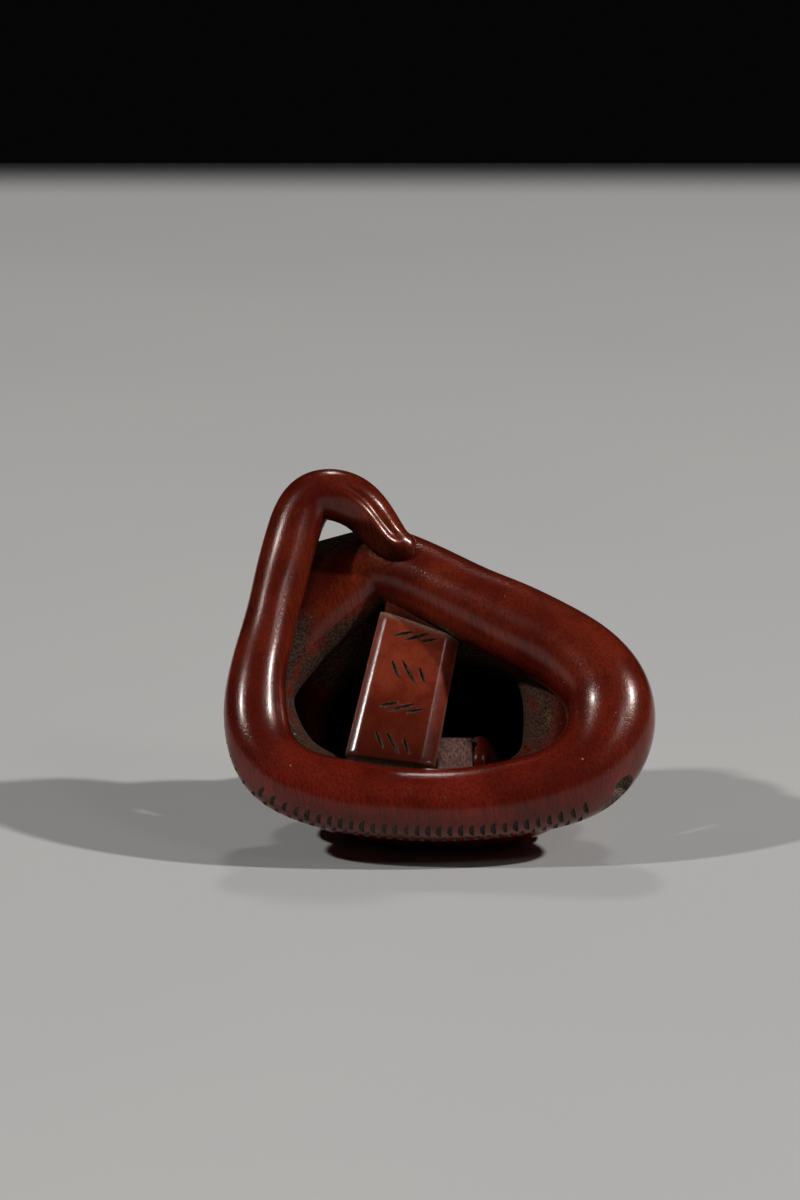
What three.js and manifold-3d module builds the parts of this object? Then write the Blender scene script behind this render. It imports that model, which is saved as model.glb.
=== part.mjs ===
// A netsuke carved from one piece of stained boxwood: a coiled snake that leans back on its rear
// coils and shows its underside, with a tablet bridging the hollow for the cord to pass behind.
import * as THREE from 'three';
import { mergeVertices } from 'three/addons/utils/BufferGeometryUtils.js';
import Module from 'manifold-3d';

const wasm = await Module();
wasm.setup();

// Driving dimensions in millimetres and degrees. The carving is laid out upright first: x runs
// across, y into the depth behind the underside and z up, and then it leans back.
const leanBack = 33;
const seat = { x: -0.1, y: -5.45, z: 16.6 };
const ringSides = 18;
const ringsPerStep = 3;
const ringsPerSegment = 24;
const hiddenReach = 0.8;
const relaxRounds = 60;

// Stations of the tail and the front coil: [across, up, depth, radius]
const frontCoil = [
  [-2.2, 13.75, 1.0, 1.25],
  [-4.1, 14.35, 0.8, 1.8],
  [-5.95, 16.25, 0.3, 2.2],
  [-8.5, 18.5, -0.4, 2.5],
  [-12.2, 18.8, -0.3, 2.55],
  [-14.3, 14.8, 0.0, 2.62],
  [-15.6, 9.4, 0.2, 2.6],
  [-16.8, 4.0, 0.1, 2.6],
  [-17.7, -1.2, 0.0, 2.95],
  [-17.1, -6.6, 0.0, 3.22],
  [-14.2, -10.1, 0.0, 3.4],
  [-9.2, -11.8, 0.0, 3.48],
  [-3.2, -12.6, 0.0, 3.48],
  [3.2, -12.5, 0.0, 3.55],
  [9.0, -11.6, 0.0, 3.75],
  [14.0, -9.4, 0.0, 4.1],
  [16.6, -5.0, 0.2, 4.28],
  [15.9, -0.3, 0.4, 4.22],
  [12.6, 3.3, 0.9, 4.05],
  [7.9, 6.3, 1.7, 3.9],
  [2.9, 9.2, 2.8, 3.75],
  [-2.4, 12.3, 4.1, 3.75],
  [-6.6, 13.6, 5.2, 3.85],
  [-10.9, 11.0, 6.1, 3.85],
  [-14.9, 5.6, 6.5, 3.6],
];

// The rear coils are a shrinking elliptic spiral of turns that lie against each other
const rearCoil = {
  centre: [0.0, -0.4],
  startAngle: 178,
  turns: 1.5,
  squareness: 0.78,
  stationsPerTurn: 13,
  firstDepth: 6.3,
  turnDepth: 6.6,
  halfWidth: [[0, 17.4], [0.25, 14.75], [0.5, 12.4], [0.95, 12.0], [1.6, 9.8]],
  halfHeight: [[0, 10.6], [0.35, 10.5], [0.8, 8.8], [0.95, 7.2], [1.6, 5.4]],
  radius: [[0, 3.3], [0.25, 3.9], [1.0, 4.3], [1.7, 4.25]],
};

// Neck and head, resting over the middle of the rear coils: a fifth number is how flat it is
const neckAndHead = [
  [9.9, 1.6, 15.6, 3.8],
  [7.4, 4.6, 16.9, 3.4],
  [3.2, 5.4, 18.0, 2.9],
  [-1.0, 4.8, 18.5, 2.75, 0.9],
  [-4.4, 4.0, 18.7, 4.0, 0.68],
  [-7.6, 3.2, 18.8, 3.3, 0.68],
  [-10.1, 2.6, 18.8, 2.2, 0.7],
  [-11.3, 2.3, 18.7, 1.1, 0.75],
];
const eye = { beforeSnout: 2.4, side: 48, radius: 0.75 };

// Wood left standing: the heart at the back of the hollow, a block with a rounded neighbour at the
// tablet's foot, and a web in the bend behind the tail, stretched over balls [across, up, depth, radius]
const heart = { centre: [-0.5, -0.6, 15.2], half: [8.5, 5.2, 2.0] };
const web = [[-6.6, 13.6, 5.2, 3.85], [-13.9, 7.1, 6.35, 3.68], [-12.4, 12.8, 5.6, 3.2]];
const knuckle = { centre: [4.1, -6.5, 8.3], half: [2.1, 3.2, 4.3] };
const foot = { centre: [1.6, -7.3, 7.7], size: [3.6, 5.6, 7.4] };

// The tablet across the hollow: its face has four corners, seen from the underside
const tablet = {
  corners: [[-9.2, -7.2], [-0.4, -8.3], [2.1, 5.3], [-5.6, 8.2]],
  face: 2.4,
  thickness: 2.4,
  edge: 0.6,
  bridgeBack: 6.5,
  bridgeScale: [0.72, 1.22],
};
const stroke = {
  width: 0.22,
  depth: 0.25,
  lengths: [1.5, 2.25, 1.5],
  groups: 4,
  groupOffset: 0.6,
  spread: 1.3,
  fall: 0.25,
  turns: [[68, 62, 72], [-12, -16, -9]],
};

// Scale edges: rows of small notches along the outer side of the front coil
const scales = { from: 10.2, to: 16.2, count: 27, rows: [66, 92], length: 0.4, width: 1.3, depth: 0.3 };
const chip = { station: 15.2, side: 74, size: [2.6, 1.5, 1.2], turn: 35 };

const degrees = Math.PI / 180;
const lean = new THREE.Matrix4().makeRotationX(-leanBack * degrees);
lean.premultiply(new THREE.Matrix4().makeTranslation(seat.x, seat.y, seat.z));

function along(knots, at) {
  const next = knots.findIndex((knot) => knot[0] >= at);
  if (next < 1) return knots.at(next)[1];
  const [a, b] = [knots[next - 1], knots[next]];
  return a[1] + ((b[1] - a[1]) * (at - a[0])) / (b[0] - a[0]);
}

function rearStations() {
  const stations = [];
  for (let turn = 0; turn < rearCoil.turns; turn += 1 / rearCoil.stationsPerTurn) {
    const angle = (rearCoil.startAngle + 360 * turn) * degrees;
    const whole = Math.floor(turn);
    const square = (value) => Math.sign(value) * Math.abs(value) ** rearCoil.squareness;
    stations.push([
      rearCoil.centre[0] + along(rearCoil.halfWidth, turn) * square(Math.cos(angle)),
      rearCoil.centre[1] + along(rearCoil.halfHeight, turn) * square(Math.sin(angle)),
      rearCoil.firstDepth + rearCoil.turnDepth * (whole + (turn - whole) ** 2),
      along(rearCoil.radius, turn),
    ]);
  }
  return stations;
}

// A smooth line through all stations: cubic spline controls are relaxed until it meets each one
const stations = [...frontCoil, ...rearStations(), ...neckAndHead].map((row) => [...row, 1].slice(0, 5));
const last = stations.length - 1;

function splineControls() {
  let controls = stations.map((row) => [...row]);
  const end = (list, i, inner) => list[i].map((value, k) => 2 * value - list[inner][k]);
  const pad = (list) => [end(list, 0, 1), ...list, end(list, last, last - 1)];
  for (let round = 0; round < relaxRounds; round += 1) {
    const padded = pad(controls);
    const meet = (value, i, k) => (6 * value - padded[i][k] - padded[i + 2][k]) / 4;
    controls = stations.map((row, i) => row.map((value, k) => meet(value, i, k)));
  }
  return pad(controls);
}
const controls = splineControls();

function blend(at, weights) {
  const i = Math.min(Math.floor(at), last - 1);
  const w = weights(at - i);
  return stations[0].map((_, k) => w.reduce((sum, weight, n) => sum + weight * controls[i + n][k], 0));
}
const placeWeights = (f) => [
  (1 - f) ** 3,
  3 * f ** 3 - 6 * f ** 2 + 4,
  -3 * f ** 3 + 3 * f ** 2 + 3 * f + 1,
  f ** 3,
].map((weight) => weight / 6);
const slopeWeights = (f) => [
  -((1 - f) ** 2),
  3 * f ** 2 - 4 * f,
  -3 * f ** 2 + 2 * f + 1,
  f ** 2,
].map((weight) => weight / 2);

// Where the body is at a station number, with its own directions: ahead, to the underside and out
function bodyAt(at) {
  const [x, up, depth, radius, flat] = blend(at, placeWeights);
  const [dx, dUp, dDepth] = blend(at, slopeWeights);
  const ahead = new THREE.Vector3(dx, dDepth, dUp).normalize();
  const under = new THREE.Vector3(0, -1, 0);
  under.addScaledVector(ahead, -under.dot(ahead)).normalize();
  const out = new THREE.Vector3().crossVectors(ahead, under);
  return { centre: new THREE.Vector3(x, depth, up), radius, flat, ahead, under, out };
}

// A point on the body's skin: side is the angle in degrees from the underside towards the outside
function skin(body, side, reach = 1) {
  return body.centre.clone()
    .addScaledVector(body.under, Math.cos(side * degrees) * body.radius * body.flat * reach)
    .addScaledVector(body.out, Math.sin(side * degrees) * body.radius * reach);
}

function solid(geometry) {
  const bare = geometry.index ? geometry.clone() : geometry;
  bare.deleteAttribute('normal');
  bare.deleteAttribute('uv');
  const merged = mergeVertices(bare, 1e-5);
  merged.applyMatrix4(lean);
  return new wasm.Manifold(new wasm.Mesh({
    numProp: 3,
    vertProperties: Float32Array.from(merged.attributes.position.array),
    triVerts: Uint32Array.from(merged.index.array),
  }));
}

// A closed stretch of body between two ring numbers. It starts one ring early with a narrow ring
// inside the stretch before it, so that two stretches overlap and their ends stay hidden.
function stretch(first, final) {
  const early = Math.max(first - 1, 0);
  const points = [];
  const faces = [];
  for (let ring = early; ring <= final; ring += 1) {
    const body = bodyAt(ring / ringsPerStep);
    const reach = ring < first ? hiddenReach : 1;
    for (let i = 0; i < ringSides; i += 1) points.push(...skin(body, (360 * i) / ringSides, reach));
  }
  const rings = final - early;
  for (let ring = 0; ring < rings; ring += 1) {
    for (let i = 0; i < ringSides; i += 1) {
      const a = ring * ringSides + i;
      const b = ring * ringSides + ((i + 1) % ringSides);
      faces.push(a, b, a + ringSides, b, b + ringSides, a + ringSides);
    }
  }
  for (const [ring, number] of [[early, 0], [final, rings]]) {
    const hub = points.length / 3;
    points.push(...bodyAt(ring / ringsPerStep).centre);
    for (let i = 0; i < ringSides; i += 1) {
      const a = number * ringSides + i;
      const b = number * ringSides + ((i + 1) % ringSides);
      faces.push(...(number === 0 ? [hub, b, a] : [hub, a, b]));
    }
  }
  const geometry = new THREE.BufferGeometry();
  geometry.setAttribute('position', new THREE.Float32BufferAttribute(points, 3));
  geometry.setIndex(faces);
  return solid(geometry);
}

function snakeBody() {
  const rings = last * ringsPerStep;
  let body = null;
  for (let first = 0; first < rings; first += ringsPerSegment) {
    const piece = stretch(first, Math.min(first + ringsPerSegment, rings));
    body = body ? body.add(piece) : piece;
  }
  return body;
}

// A small form set on the skin, with its x ahead along the body, y across and z out of the skin
function onSkin(geometry, station, side, turn = 0) {
  const body = bodyAt(station);
  const place = skin(body, side);
  const outward = place.clone().sub(body.centre).normalize();
  const across = new THREE.Vector3().crossVectors(outward, body.ahead).normalize();
  const frame = new THREE.Matrix4().makeBasis(body.ahead, across, outward).setPosition(place);
  geometry.rotateZ(turn * degrees);
  return solid(geometry.applyMatrix4(frame));
}

function eyes() {
  const sides = [180 - eye.side, 180 + eye.side];
  const ball = () => new THREE.SphereGeometry(eye.radius, 10, 6);
  return sides.map((side) => onSkin(ball(), last - eye.beforeSnout, side));
}

function leftWood({ centre: [x, up, depth], half: [halfWidth, halfHeight, halfDepth] }) {
  const ball = new THREE.SphereGeometry(1, 16, 10).scale(halfWidth, halfDepth, halfHeight);
  return solid(ball.translate(x, depth, up));
}

function stretchedWeb() {
  const balls = web.map(([x, up, depth, radius]) => {
    const ball = new THREE.SphereGeometry(radius, 16, 10);
    return solid(ball.translate(x, depth, up));
  });
  return wasm.Manifold.hull(balls);
}

function footBlock({ centre: [x, up, depth], size: [width, height, thick] }) {
  return solid(new THREE.BoxGeometry(width, thick, height).translate(x, depth, up));
}

function scaleNotches() {
  const notches = [];
  scales.rows.forEach((side, row) => {
    for (let i = 0; i < scales.count; i += 1) {
      const station = scales.from + ((scales.to - scales.from) * (i + row / 2)) / scales.count;
      const pit = new THREE.OctahedronGeometry(1).scale(scales.length, scales.width / 2, scales.depth);
      notches.push(onSkin(pit, station, side));
    }
  });
  return notches;
}

// A slab with the tablet's outline, between two depths, scaled about the outline's middle
function slab(front, back, edge, [scaleAcross, scaleUp]) {
  const middle = [0, 1].map((k) => tablet.corners.reduce((sum, corner) => sum + corner[k] / 4, 0));
  const outline = tablet.corners.map(([x, up]) => new THREE.Vector2(
    middle[0] + (x - middle[0]) * scaleAcross,
    middle[1] + (up - middle[1]) * scaleUp,
  ));
  const bevel = { bevelThickness: edge, bevelSize: edge, bevelOffset: -edge, bevelSegments: 2 };
  const depth = back - front - 2 * edge;
  const geometry = new THREE.ExtrudeGeometry(new THREE.Shape(outline), { depth, ...bevel });
  return solid(geometry.translate(0, 0, -back + edge).rotateX(Math.PI / 2));
}

// Rows of shallow strokes down the tablet's face
function strokes() {
  const [lowLeft, lowRight, topRight, topLeft] = tablet.corners.map(([x, up]) => new THREE.Vector2(x, up));
  const low = lowLeft.lerp(lowRight, 0.5);
  const top = topLeft.lerp(topRight, 0.5);
  const marks = [];
  for (let group = 0; group < stroke.groups; group += 1) {
    const centre = low.clone().lerp(top, (group + stroke.groupOffset) / stroke.groups);
    const turns = stroke.turns[group % stroke.turns.length];
    stroke.lengths.forEach((length, i) => {
      const mark = new THREE.BoxGeometry(length, 2 * stroke.depth, stroke.width);
      mark.rotateY(turns[i] * degrees);
      const across = (i - 1) * stroke.spread;
      marks.push(solid(mark.translate(centre.x + across, tablet.face, centre.y - stroke.fall * across)));
    });
  }
  return marks;
}

function floorBlock() {
  const size = 100;
  const block = new THREE.BoxGeometry(size, size, size);
  return solid(block.translate(0, 0, -size / 2).applyMatrix4(lean.clone().invert()));
}

let carving = snakeBody()
  .add(leftWood(heart))
  .add(stretchedWeb())
  .add(leftWood(knuckle))
  .add(footBlock(foot))
  .add(slab(tablet.face, tablet.face + tablet.thickness, tablet.edge, [1, 1]))
  .add(slab(tablet.face + tablet.thickness / 2, tablet.bridgeBack, tablet.edge, tablet.bridgeScale));
for (const ball of eyes()) carving = carving.add(ball);
for (const mark of [...strokes(), ...scaleNotches()]) carving = carving.subtract(mark);
const chipBlock = new THREE.BoxGeometry(...chip.size);
carving = carving.subtract(onSkin(chipBlock, chip.station, chip.side, chip.turn));
carving = carving.subtract(floorBlock());

const shape = carving.getMesh();
const geometry = new THREE.BufferGeometry();
geometry.setAttribute('position', new THREE.Float32BufferAttribute(shape.vertProperties, 3));
geometry.setIndex(Array.from(shape.triVerts));
geometry.computeVertexNormals();

const stainedBoxwood = new THREE.MeshStandardMaterial({ color: 0x6e2a1a, roughness: 0.35, metalness: 0 });
const snake = new THREE.Mesh(geometry, stainedBoxwood);
snake.name = 'coiled_snake';

const netsuke = new THREE.Group();
netsuke.name = 'netsuke';
netsuke.add(snake);

export default netsuke;
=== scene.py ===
# A netsuke of one piece of stained boxwood: a coiled snake that leans back on its rear coils
import math

import bmesh
import bpy
import numpy as np
from mathutils import Matrix, Vector
from mathutils.bvhtree import BVHTree


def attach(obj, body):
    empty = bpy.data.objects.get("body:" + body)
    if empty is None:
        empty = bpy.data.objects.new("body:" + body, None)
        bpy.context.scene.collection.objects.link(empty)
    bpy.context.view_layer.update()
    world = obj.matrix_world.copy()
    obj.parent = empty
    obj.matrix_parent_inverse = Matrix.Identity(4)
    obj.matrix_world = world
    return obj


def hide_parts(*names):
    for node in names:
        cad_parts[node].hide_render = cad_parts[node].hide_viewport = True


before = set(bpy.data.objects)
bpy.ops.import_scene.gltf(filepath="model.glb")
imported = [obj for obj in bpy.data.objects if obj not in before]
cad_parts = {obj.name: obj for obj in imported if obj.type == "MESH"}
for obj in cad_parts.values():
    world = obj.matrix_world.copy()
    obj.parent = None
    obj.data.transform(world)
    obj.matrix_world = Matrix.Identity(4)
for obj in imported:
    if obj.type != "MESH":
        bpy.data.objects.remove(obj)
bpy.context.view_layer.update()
print("frame loaded:", sorted(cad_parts))

# The carving is laid out upright in millimetres: x across, y into the depth, z up, and then leans back
stance = {"leanBack": 33.0, "seat": (-0.1, -5.45, 16.6), "unit": 0.001}
lean = Matrix.Translation(stance["seat"]) @ Matrix.Rotation(-math.radians(stance["leanBack"]), 4, "X")
toRow = Matrix.Scale(stance["unit"], 4) @ lean


def stain(red, green, blue):
    # a colour as the eye reads it, 0 to 255, in the linear values that shaders take
    channels = [c / 255 for c in (red, green, blue)]
    return (*(c / 12.92 if c < 0.04045 else ((c + 0.055) / 1.055) ** 2.4 for c in channels), 1.0)


def smoothStep(low, high, value):
    share = np.clip((value - low) / (high - low), 0, 1)
    return share * share * (3 - 2 * share)


# Node trees: Wire is a socket that takes part in sums, Graph adds nodes to one tree
class Wire:
    def __init__(self, graph, socket):
        self.graph = graph
        self.socket = socket

    def maths(self, operation, first, second=0.0):
        return self.graph.node("ShaderNodeMath", {"operation": operation}, {0: first, 1: second})

    def __add__(self, other):
        return self.maths("ADD", self, other)

    def __radd__(self, other):
        return self.maths("ADD", other, self)

    def __sub__(self, other):
        return self.maths("SUBTRACT", self, other)

    def __rsub__(self, other):
        return self.maths("SUBTRACT", other, self)

    def __mul__(self, other):
        return self.maths("MULTIPLY", self, other)

    def __rmul__(self, other):
        return self.maths("MULTIPLY", other, self)

    def clear(self, low, high):
        # 0 below low and 1 above high, with a soft run between
        steps = {"Value": self, "From Min": low, "From Max": high}
        return self.graph.node("ShaderNodeMapRange", {"interpolation_type": "SMOOTHSTEP"}, steps)


class Graph:
    def __init__(self, tree):
        self.tree = tree

    def node(self, kind, settings=None, inputs=None, output=0):
        made = self.tree.nodes.new(kind)
        for name, value in (settings or {}).items():
            setattr(made, name, value)
        for key, value in (inputs or {}).items():
            if isinstance(value, Wire):
                self.tree.links.new(value.socket, made.inputs[key])
            else:
                made.inputs[key].default_value = value
        return Wire(self, made.outputs[output])

    def mix(self, share, first, second):
        return self.node("ShaderNodeMix", {"data_type": "RGBA"}, {0: share, 6: first, 7: second}, 2)

    def grow(self, vector, factors):
        return self.node("ShaderNodeVectorMath", {"operation": "MULTIPLY"}, {0: vector, 1: factors})

    def noise(self, vector, scale, detail=2.0, roughness=0.5):
        settings = {"Vector": vector, "Scale": scale, "Detail": detail, "Roughness": roughness}
        return self.node("ShaderNodeTexNoise", None, settings)

    def bump(self, settings, height):
        return self.node("ShaderNodeBump", None, {**settings, "Height": height})

    def attribute(self, name):
        return self.node("ShaderNodeAttribute", {"attribute_name": name}, None, 2)


# Meshes and carving
def addObject(name, mesh, finish=None):
    piece = bpy.data.objects.new(name, mesh)
    bpy.context.scene.collection.objects.link(piece)
    if finish:
        mesh.materials.append(finish)
    return piece


def settle(piece):
    # the evaluated shape becomes a plain mesh and the modifiers go
    bpy.context.view_layer.update()
    evaluated = piece.evaluated_get(bpy.context.evaluated_depsgraph_get())
    mesh = bpy.data.meshes.new_from_object(evaluated)
    piece.modifiers.clear()
    piece.data = mesh
    return piece


def carve(blank, tool, operation):
    cut = blank.modifiers.new(operation.lower(), "BOOLEAN")
    cut.operation = operation
    cut.solver = "MANIFOLD"
    cut.material_mode = "TRANSFER"
    cut.object = tool
    settle(blank)
    bpy.data.objects.remove(tool)


def meshOf(name, build):
    shape = bmesh.new()
    build(shape)
    bmesh.ops.recalc_face_normals(shape, faces=shape.faces)
    mesh = bpy.data.meshes.new(name)
    shape.to_mesh(mesh)
    shape.free()
    return mesh


def readPoints(mesh):
    flat = np.empty(len(mesh.vertices) * 3, np.float32)
    mesh.vertices.foreach_get("co", flat)
    return flat.reshape(-1, 3).astype(float)


def readValues(mesh, name):
    values = np.empty(len(mesh.vertices), np.float32)
    mesh.attributes[name].data.foreach_get("value", values)
    return values.astype(float)


def writeValues(mesh, name, values):
    layer = mesh.attributes.new(name, "FLOAT", "POINT")
    layer.data.foreach_set("value", np.asarray(values, np.float32))


# Body: a line of stations [across, up, depth, radius, flatness] from the tail to the snout
snake = {
    "frontCoil": [
        [-2.2, 13.75, 1.0, 1.25],
        [-4.1, 14.35, 0.8, 1.8],
        [-5.95, 16.25, 0.3, 2.2],
        [-8.5, 18.5, -0.4, 2.5],
        [-12.2, 18.8, -0.3, 2.55],
        [-14.3, 14.8, 0.0, 2.62],
        [-15.6, 9.4, 0.2, 2.6],
        [-16.8, 4.0, 0.1, 2.6],
        [-17.7, -1.2, 0.0, 2.95],
        [-17.1, -6.6, 0.0, 3.22],
        [-14.2, -10.1, 0.0, 3.4],
        [-9.2, -11.8, 0.0, 3.48],
        [-3.2, -12.6, 0.0, 3.48],
        [3.2, -12.5, 0.0, 3.55],
        [9.0, -11.6, 0.0, 3.75],
        [14.0, -9.4, 0.0, 4.1],
        [16.6, -5.0, 0.2, 4.28],
        [15.9, -0.3, 0.4, 4.22],
        [12.6, 3.3, 0.9, 4.05],
        [7.9, 6.3, 1.7, 3.9],
        [2.9, 9.2, 2.8, 3.75],
        [-2.4, 12.3, 4.1, 3.75],
        [-6.6, 13.6, 5.2, 3.85],
        [-10.9, 11.0, 6.1, 3.85],
        [-14.9, 5.6, 6.5, 3.6],
    ],
    "rearCentre": (0.0, -0.4),
    "rearStart": 178,
    "rearStations": 20,
    "stationsPerTurn": 13,
    "squareness": 0.78,
    "firstDepth": 6.3,
    "turnDepth": 6.6,
    "halfWidth": ([0, 0.25, 0.5, 0.95, 1.6], [17.4, 14.75, 12.4, 12.0, 9.8]),
    "halfHeight": ([0, 0.35, 0.8, 0.95, 1.6], [10.6, 10.5, 8.8, 7.2, 5.4]),
    "rearRadius": ([0, 0.25, 1.0, 1.7], [3.3, 3.9, 4.3, 4.25]),
    "neckAndHead": [
        [9.9, 1.6, 15.6, 3.8],
        [7.4, 4.6, 16.9, 3.4],
        [3.2, 5.4, 18.0, 2.9],
        [-1.0, 4.8, 18.5, 2.75, 0.9],
        [-4.4, 4.0, 18.7, 4.0, 0.68],
        [-7.6, 3.2, 18.8, 3.3, 0.68],
        [-10.1, 2.6, 18.8, 2.2, 0.7],
        [-11.3, 2.3, 18.7, 1.1, 0.75],
    ],
    "ringSides": 72,
    "stationsPerStretch": 8,
    "ringSteps": [0.25, 0.3, 0.3, 0.4, 0.45, 0.4, 0.18],  # millimetres between rings, one per stretch
    "hiddenReach": 0.8,
    "fullReach": 0.99,
    "relaxRounds": 60,
    "fineSteps": 40,  # per station
    "endRings": 5,
    "sharpAngle": 38,
}


def rearStations():
    turn = np.arange(snake["rearStations"]) / snake["stationsPerTurn"]
    angle = np.radians(snake["rearStart"] + 360 * turn)
    square = lambda value: np.sign(value) * np.abs(value) ** snake["squareness"]
    whole = np.floor(turn)
    across = snake["rearCentre"][0] + np.interp(turn, *snake["halfWidth"]) * square(np.cos(angle))
    up = snake["rearCentre"][1] + np.interp(turn, *snake["halfHeight"]) * square(np.sin(angle))
    depth = snake["firstDepth"] + snake["turnDepth"] * (whole + (turn - whole) ** 2)
    radius = np.interp(turn, *snake["rearRadius"])
    return np.column_stack([across, up, depth, radius, np.ones_like(turn)]).tolist()


def splineControls(rows):
    # cubic spline controls, relaxed until the line meets each station
    mirrored = lambda c: np.vstack([2 * c[0] - c[1], c, 2 * c[-1] - c[-2]])
    controls = rows
    for _ in range(snake["relaxRounds"]):
        padded = mirrored(controls)
        controls = (6 * rows - padded[:-2] - padded[2:]) / 4
    return mirrored(controls)


stationRows = snake["frontCoil"] + rearStations() + snake["neckAndHead"]
stations = np.array([(row + [1.0])[:5] for row in stationRows])
lastStation = len(stations) - 1
controls = splineControls(stations)


def unitRows(rows):
    return rows / np.linalg.norm(rows, axis=1, keepdims=True)


def bodyAt(at):
    # centre, radius, flatness and own directions of the body at station numbers
    at = np.atleast_1d(np.asarray(at, float))
    first = np.minimum(np.floor(at).astype(int), lastStation - 1)
    f = at - first
    place = np.array([(1 - f) ** 3, 3 * f**3 - 6 * f**2 + 4, -3 * f**3 + 3 * f**2 + 3 * f + 1, f**3]) / 6
    slope = np.array([-((1 - f) ** 2), 3 * f**2 - 4 * f, -3 * f**2 + 2 * f + 1, f**2]) / 2
    near = np.array([controls[first + n] for n in range(4)])
    spot = np.einsum("nk,nkc->kc", place, near)
    run = np.einsum("nk,nkc->kc", slope, near)
    ahead = unitRows(run[:, [0, 2, 1]])
    under = np.tile([0.0, -1.0, 0.0], (len(at), 1))
    under = unitRows(under - ahead * np.sum(under * ahead, axis=1, keepdims=True))
    out = np.cross(ahead, under)
    return {"centre": spot[:, [0, 2, 1]], "radius": spot[:, 3], "flat": spot[:, 4],
            "ahead": ahead, "under": under, "out": out}


def skin(body, side, reach=1.0, lift=0.0):
    # points on the skin: side is the angle from the underside towards the outside
    size = (body["radius"] * reach + lift)[:, None]
    under = (np.cos(side) * body["flat"])[:, None] * body["under"]
    return body["centre"] + size * (under + np.sin(side)[:, None] * body["out"])


fineStations = np.linspace(0, lastStation, snake["fineSteps"] * lastStation + 1)
fineBody = bodyAt(fineStations)
fineLengths = np.linalg.norm(np.diff(fineBody["centre"], axis=0), axis=1)
runLength = np.concatenate([[0], np.cumsum(fineLengths)])
print(f"snake is {runLength[-1]:.0f} mm long, {lastStation + 1} stations")

# Relief that follows the skin: the line along the tail, round ends, mouth, nostrils, brows and eye rings
relief = {
    "tailLine": {"from": 1.0, "to": 3.5, "side": 6, "width": 0.42, "depth": 0.26, "lip": 0.2,
                 "fadeIn": 0.3, "fadeOut": 0.6},
    "tailEnd": {"length": 0.6, "reach": 0.5},
    "snoutEnd": {"length": 0.9, "reach": 0.25},
    "mouth": {"length": 3.1, "side": 78, "rise": 14, "riseFrom": 0.6, "fade": 0.4, "width": 0.16,
              "depth": 0.3},
    "nostril": {"before": 0.55, "side": 132, "radius": 0.3, "depth": 0.35},
    "brow": {"before": 2.4, "side": 158, "length": 1.0, "width": 14, "height": 0.3},
    "eyeRing": {"before": 2.4, "side": 132, "radius": 0.95, "width": 0.2, "depth": 0.22},
    "headStep": 2.6,  # millimetres from station to station along the head
    "handCut": {"height": 0.018, "waves": [(1.9, 1, 0.4), (3.1, -2, 1.7), (4.7, 2, 3.0), (2.3, 3, 5.1)]},
}


def ridge(distance, width):
    return np.exp(-((distance / width) ** 2))


def skinLift(station, side, radius):
    # millimetres that the carved skin stands above the plain round body
    degrees = np.degrees(side)
    tail = relief["tailLine"]
    across = np.radians(degrees - tail["side"]) * radius
    window = smoothStep(tail["from"] - tail["fadeIn"], tail["from"] + tail["fadeIn"], station)
    window = window * (1 - smoothStep(tail["to"] - tail["fadeOut"], tail["to"], station))
    lip = tail["lip"] * ridge(across + 2 * tail["width"], tail["width"])
    lift = window * (lip - tail["depth"] * ridge(across, tail["width"]))
    hand = relief["handCut"]
    for pace, turns, shift in hand["waves"]:
        lift = lift + hand["height"] * np.sin(pace * station + turns * side + shift)
    fromSnout = lastStation - station
    both = np.abs(degrees)
    mouth = relief["mouth"]
    corner = mouth["length"]
    line = mouth["side"] + mouth["rise"] * smoothStep(corner * mouth["riseFrom"], corner, fromSnout)
    shut = 1 - smoothStep(corner - mouth["fade"], corner, fromSnout)
    lift = lift - mouth["depth"] * shut * ridge(np.radians(both - line) * radius, mouth["width"])

    def away(part):
        along = (fromSnout - part["before"]) * relief["headStep"]
        return np.hypot(along, np.radians(both - part["side"]) * radius)

    nostril, brow, ring = relief["nostril"], relief["brow"], relief["eyeRing"]
    lift = lift - nostril["depth"] * ridge(away(nostril), nostril["radius"])
    lift = lift - ring["depth"] * ridge(away(ring) - ring["radius"], ring["width"])
    overEye = ridge(fromSnout - brow["before"], brow["length"]) * ridge(both - brow["side"], brow["width"])
    return lift + brow["height"] * overEye


def roundEnds(run):
    # how much narrower the body gets towards its two ends
    reach = np.ones_like(run)
    for end, distance in (("tailEnd", run), ("snoutEnd", runLength[-1] - run)):
        part = relief[end]
        share = np.clip(distance / part["length"], 0, 1)
        reach = reach * (part["reach"] + (1 - part["reach"]) * np.sqrt(1 - (1 - share) ** 2))
    return reach


def namedInputs(tree):
    return {item.name: item.identifier for item in tree.interface.items_tree if item.in_out == "INPUT"}


def startTree(name, sockets):
    # a geometry tree with its named inputs, and one way out
    tree = bpy.data.node_groups.new(name, "GeometryNodeTree")
    for label, kind in sockets.items():
        tree.interface.new_socket(label, in_out="INPUT", socket_type="NodeSocket" + kind)
    tree.interface.new_socket("Shape", in_out="OUTPUT", socket_type="NodeSocketGeometry")
    graph = Graph(tree)
    inlet = tree.nodes.new("NodeGroupInput")
    return graph, [Wire(graph, inlet.outputs[k]) for k in range(len(sockets))]


def endTree(graph, shape, finish):
    shape = graph.node("GeometryNodeRealizeInstances", None, {"Geometry": shape})
    shape = graph.node("GeometryNodeSetMaterial", None, {"Geometry": shape, "Material": finish})
    outlet = graph.tree.nodes.new("NodeGroupOutput")
    graph.tree.links.new(shape.socket, outlet.inputs[0])
    return graph.tree


def held(graph, name, kind):
    return graph.node("GeometryNodeInputNamedAttribute", {"data_type": kind}, {"Name": name})


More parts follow.
